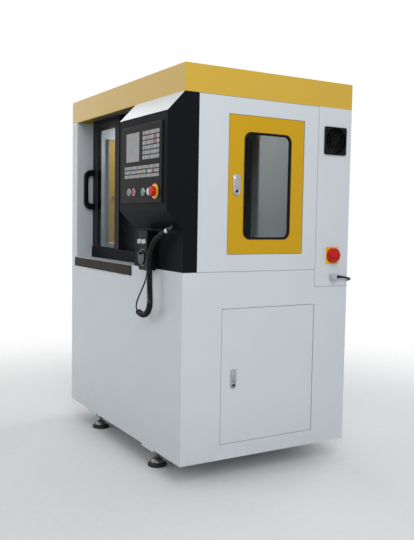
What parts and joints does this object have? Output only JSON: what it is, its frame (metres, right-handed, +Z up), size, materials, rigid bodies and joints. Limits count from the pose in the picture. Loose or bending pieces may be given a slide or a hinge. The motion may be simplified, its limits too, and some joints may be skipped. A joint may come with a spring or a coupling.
{
  "type": "mini cnc machining center",
  "caption": "Enclosed compact CNC machining centre: tall cabinet on levelling feet with glazed doors, sliding front door, control console, hand pendant and a small mill inside",
  "frame": {"origin": "On the floor, at the middle of the four levelling feet", "axes": "+X to the right along the front, towards the console; +Y from the front to the back; +Z up"},
  "size_m": [1.2893, 1.262, 1.69],
  "materials": {
    "panel_white": "cool white powder coat",
    "machine_yellow": "yellow powder coat",
    "console_black": "satin dark powder coat",
    "frame_black": "black powder coat",
    "leaf_grey": "dark grey powder coat",
    "sill_brown": "dark satin paint",
    "zinc_steel": "bright zinc-plated steel",
    "stainless": "brushed stainless sheet",
    "tank_grey": "grey paint",
    "bare_aluminium": "satin anodised",
    "clear_pane": "clear",
    "screen_glass": "dark display glass",
    "black_plastic": "matt moulded",
    "key_grey": "printed key mat",
    "switch_yellow": "moulded yellow",
    "switch_red": "moulded red",
    "button_green": "translucent green cap",
    "button_white": "translucent white cap",
    "dial_steel": "turned aluminium",
    "plated": "bright plated",
    "seal_rubber": "matt black rubber",
    "cord_rubber": "black cord sheath",
    "gland_grey": "light grey nylon",
    "casting_paint": "pale machine enamel on castings",
    "ground_iron": "ground cast iron",
    "tool_steel": "ground steel"
  },
  "bodies": {
    "cabinet": {"base_cabinet": "panel_white", "levelling_feet": "zinc_steel", "chip_tray": "stainless", "coolant_tank": "tank_grey", "sill_plate": "sill_brown", "right_side_panel": "panel_white", "left_side_panel": "panel_white", "roof_cap": "machine_yellow", "electrical_cabinet": "panel_white", "front_frame": "frame_black", "upper_track": "bare_aluminium", "lower_track": "frame_black", "console_housing": "console_black", "console_cap": "panel_white", "control_unit": "console_black", "screen": "screen_glass", "keypad": "key_grey", "pendant_socket": "plated", "pendant_body": "black_plastic", "pendant_cord": "cord_rubber", "pendant_lead": "cord_rubber", "fan_frame": "black_plastic", "main_switch_plate": "switch_yellow", "mains_gland": "gland_grey", "power_cord": "cord_rubber", "power_cord_coil": "cord_rubber", "power_plug": "black_plastic", "mill_bed": "casting_paint", "mill_column": "casting_paint"},
    "sliding_door_body": {"sliding_door": "leaf_grey", "sliding_pane": "clear_pane", "sliding_handle": "black_plastic"},
    "right_door_body": {"right_door": "machine_yellow", "right_pane": "clear_pane", "right_gasket": "seal_rubber"},
    "left_door_body": {"left_door": "machine_yellow", "left_pane": "clear_pane", "left_gasket": "seal_rubber"},
    "lower_door_body": {"lower_door": "panel_white"},
    "rear_door_body": {"rear_door": "panel_white"},
    "right_latch": {"right_latch_button": "plated"},
    "left_latch": {"left_latch_button": "plated"},
    "lower_latch": {"lower_latch_button": "plated"},
    "rear_latch": {"rear_latch_button": "plated"},
    "fan": {"fan_rotor": "black_plastic"},
    "main_switch": {"main_switch_knob": "switch_red"},
    "start": {"start_button": "button_green"},
    "stop": {"stop_button": "switch_red"},
    "power_on": {"power_on_button": "button_green"},
    "power_off": {"power_off_button": "button_white"},
    "emergency_stop": {"estop_button": "switch_red"},
    "jog_dial": {"pendant_dial": "dial_steel"},
    "axis_selector": {"pendant_axis_knob": "button_white"},
    "rate_selector": {"pendant_rate_knob": "button_white"},
    "saddle_body": {"saddle": "casting_paint"},
    "table_body": {"table": "ground_iron"},
    "head_body": {"head": "casting_paint"},
    "spindle_body": {"spindle": "tool_steel"},
    "magazine_carrier": {"tool_carrier": "casting_paint"},
    "magazine_disc": {"tool_disc": "tool_steel"}
  },
  "joints": [
    {"name": "sliding_door_travel", "type": "slide", "parent": "cabinet", "child": "sliding_door_body", "axis": [1, 0, 0], "range_m": [0, 0.335]},
    {"name": "right_door_hinge", "type": "hinge", "parent": "cabinet", "child": "right_door_body", "pos_m": [0.623, 0.1575, 0.944], "axis": [0, 0, 1], "range_deg": [0, 110]},
    {"name": "left_door_hinge", "type": "hinge", "parent": "cabinet", "child": "left_door_body", "pos_m": [-0.623, 0.1575, 0.944], "axis": [0, 0, -1], "range_deg": [0, 110]},
    {"name": "lower_door_hinge", "type": "hinge", "parent": "cabinet", "child": "lower_door_body", "pos_m": [0.623, 0.2345, 0.156], "axis": [0, 0, 1], "range_deg": [0, 110]},
    {"name": "rear_door_hinge", "type": "hinge", "parent": "cabinet", "child": "rear_door_body", "pos_m": [-0.571, 0.4195, 0.838], "axis": [0, 0, 1], "range_deg": [0, 110]},
    {"name": "right_latch_push", "type": "slide", "parent": "right_door_body", "child": "right_latch", "axis": [-1, 0, 0], "range_m": [0, 0.004], "stiffness_N_per_m": 300},
    {"name": "left_latch_push", "type": "slide", "parent": "left_door_body", "child": "left_latch", "axis": [1, 0, 0], "range_m": [0, 0.004], "stiffness_N_per_m": 300},
    {"name": "lower_latch_push", "type": "slide", "parent": "lower_door_body", "child": "lower_latch", "axis": [-1, 0, 0], "range_m": [0, 0.004], "stiffness_N_per_m": 300},
    {"name": "rear_latch_push", "type": "slide", "parent": "rear_door_body", "child": "rear_latch", "axis": [0, -1, 0], "range_m": [0, 0.004], "stiffness_N_per_m": 300},
    {"name": "fan_spin", "type": "hinge", "parent": "cabinet", "child": "fan", "pos_m": [0.627, 0.331, 1.437], "axis": [1, 0, 0], "continuous": true},
    {"name": "main_switch_turn", "type": "hinge", "parent": "cabinet", "child": "main_switch", "pos_m": [0.627, 0.331, 0.934], "axis": [1, 0, 0], "range_deg": [0, 90]},
    {"name": "start_push", "type": "slide", "parent": "cabinet", "child": "start", "axis": [0, 1, 0], "range_m": [0, 0.004], "stiffness_N_per_m": 300},
    {"name": "stop_push", "type": "slide", "parent": "cabinet", "child": "stop", "axis": [0, 1, 0], "range_m": [0, 0.004], "stiffness_N_per_m": 300},
    {"name": "power_on_push", "type": "slide", "parent": "cabinet", "child": "power_on", "axis": [0, 1, 0], "range_m": [0, 0.004], "stiffness_N_per_m": 300},
    {"name": "power_off_push", "type": "slide", "parent": "cabinet", "child": "power_off", "axis": [0, 1, 0], "range_m": [0, 0.004], "stiffness_N_per_m": 300},
    {"name": "emergency_stop_push", "type": "slide", "parent": "cabinet", "child": "emergency_stop", "axis": [0, 1, 0], "range_m": [0, 0.005]},
    {"name": "jog_dial_turn", "type": "hinge", "parent": "cabinet", "child": "jog_dial", "pos_m": [0.357, -0.4695, 0.919], "axis": [0, -1, 0], "continuous": true},
    {"name": "axis_selector_turn", "type": "hinge", "parent": "cabinet", "child": "axis_selector", "pos_m": [0.336, -0.4695, 0.987], "axis": [0, -1, 0], "range_deg": [-60, 60]},
    {"name": "rate_selector_turn", "type": "hinge", "parent": "cabinet", "child": "rate_selector", "pos_m": [0.378, -0.4695, 0.987], "axis": [0, -1, 0], "range_deg": [-60, 60]},
    {"name": "saddle_travel", "type": "slide", "parent": "cabinet", "child": "saddle_body", "axis": [0, 1, 0], "range_m": [-0.07, 0.07]},
    {"name": "table_travel", "type": "slide", "parent": "saddle_body", "child": "table_body", "axis": [1, 0, 0], "range_m": [-0.13, 0.13]},
    {"name": "head_travel", "type": "slide", "parent": "cabinet", "child": "head_body", "axis": [0, 0, 1], "range_m": [-0.19, 0]},
    {"name": "spindle_spin", "type": "hinge", "parent": "head_body", "child": "spindle_body", "pos_m": [0, -0.1235, 1.33], "axis": [0, 0, 1], "continuous": true},
    {"name": "magazine_travel", "type": "slide", "parent": "cabinet", "child": "magazine_carrier", "axis": [1, 0, 0], "range_m": [0, 0.165]},
    {"name": "magazine_turn", "type": "hinge", "parent": "magazine_carrier", "child": "magazine_disc", "pos_m": [-0.295, -0.1235, 1.25], "axis": [0, 0, 1], "continuous": true}
  ]
}
